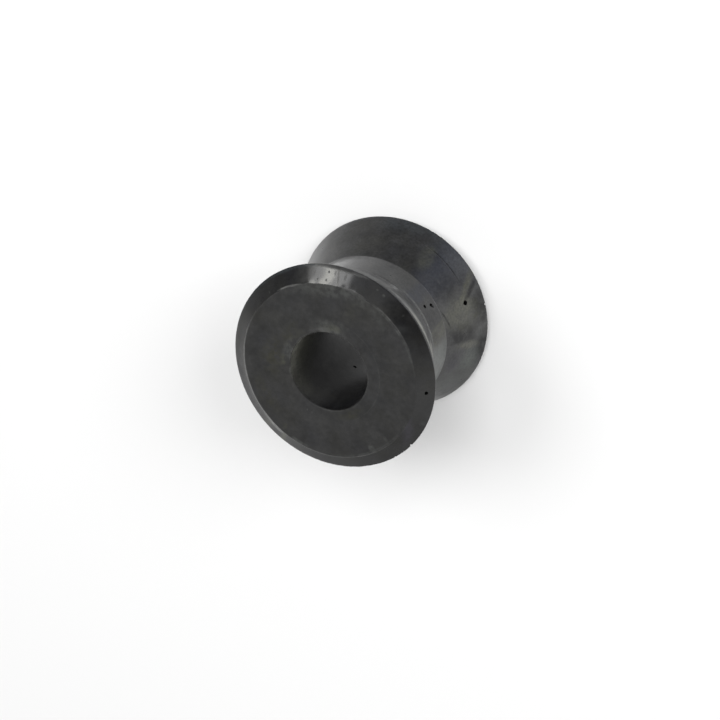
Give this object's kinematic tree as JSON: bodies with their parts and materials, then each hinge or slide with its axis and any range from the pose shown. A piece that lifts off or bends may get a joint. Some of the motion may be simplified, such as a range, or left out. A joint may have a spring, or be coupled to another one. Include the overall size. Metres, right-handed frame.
{
  "type": "shock absorber bushing",
  "caption": "Moulded rubber spool bushing for a shock absorber eye: straight bore, narrow waist and flared flanges with bevelled flat ends.",
  "frame": {"origin": "centre of the bore, half way between the two end faces", "axes": "+Z along the bore axis, out of the front end face, which is the one with the marked bevel; +X is the direction that the marks' angles are counted from"},
  "size_m": [0.042, 0.042, 0.0332],
  "materials": {
    "rubber": "moulded black rubber: dull end faces, satin waist and flanges, glossier bevels"
  },
  "bodies": {
    "root": {"bushing": "rubber"}
  },
  "joints": []
}
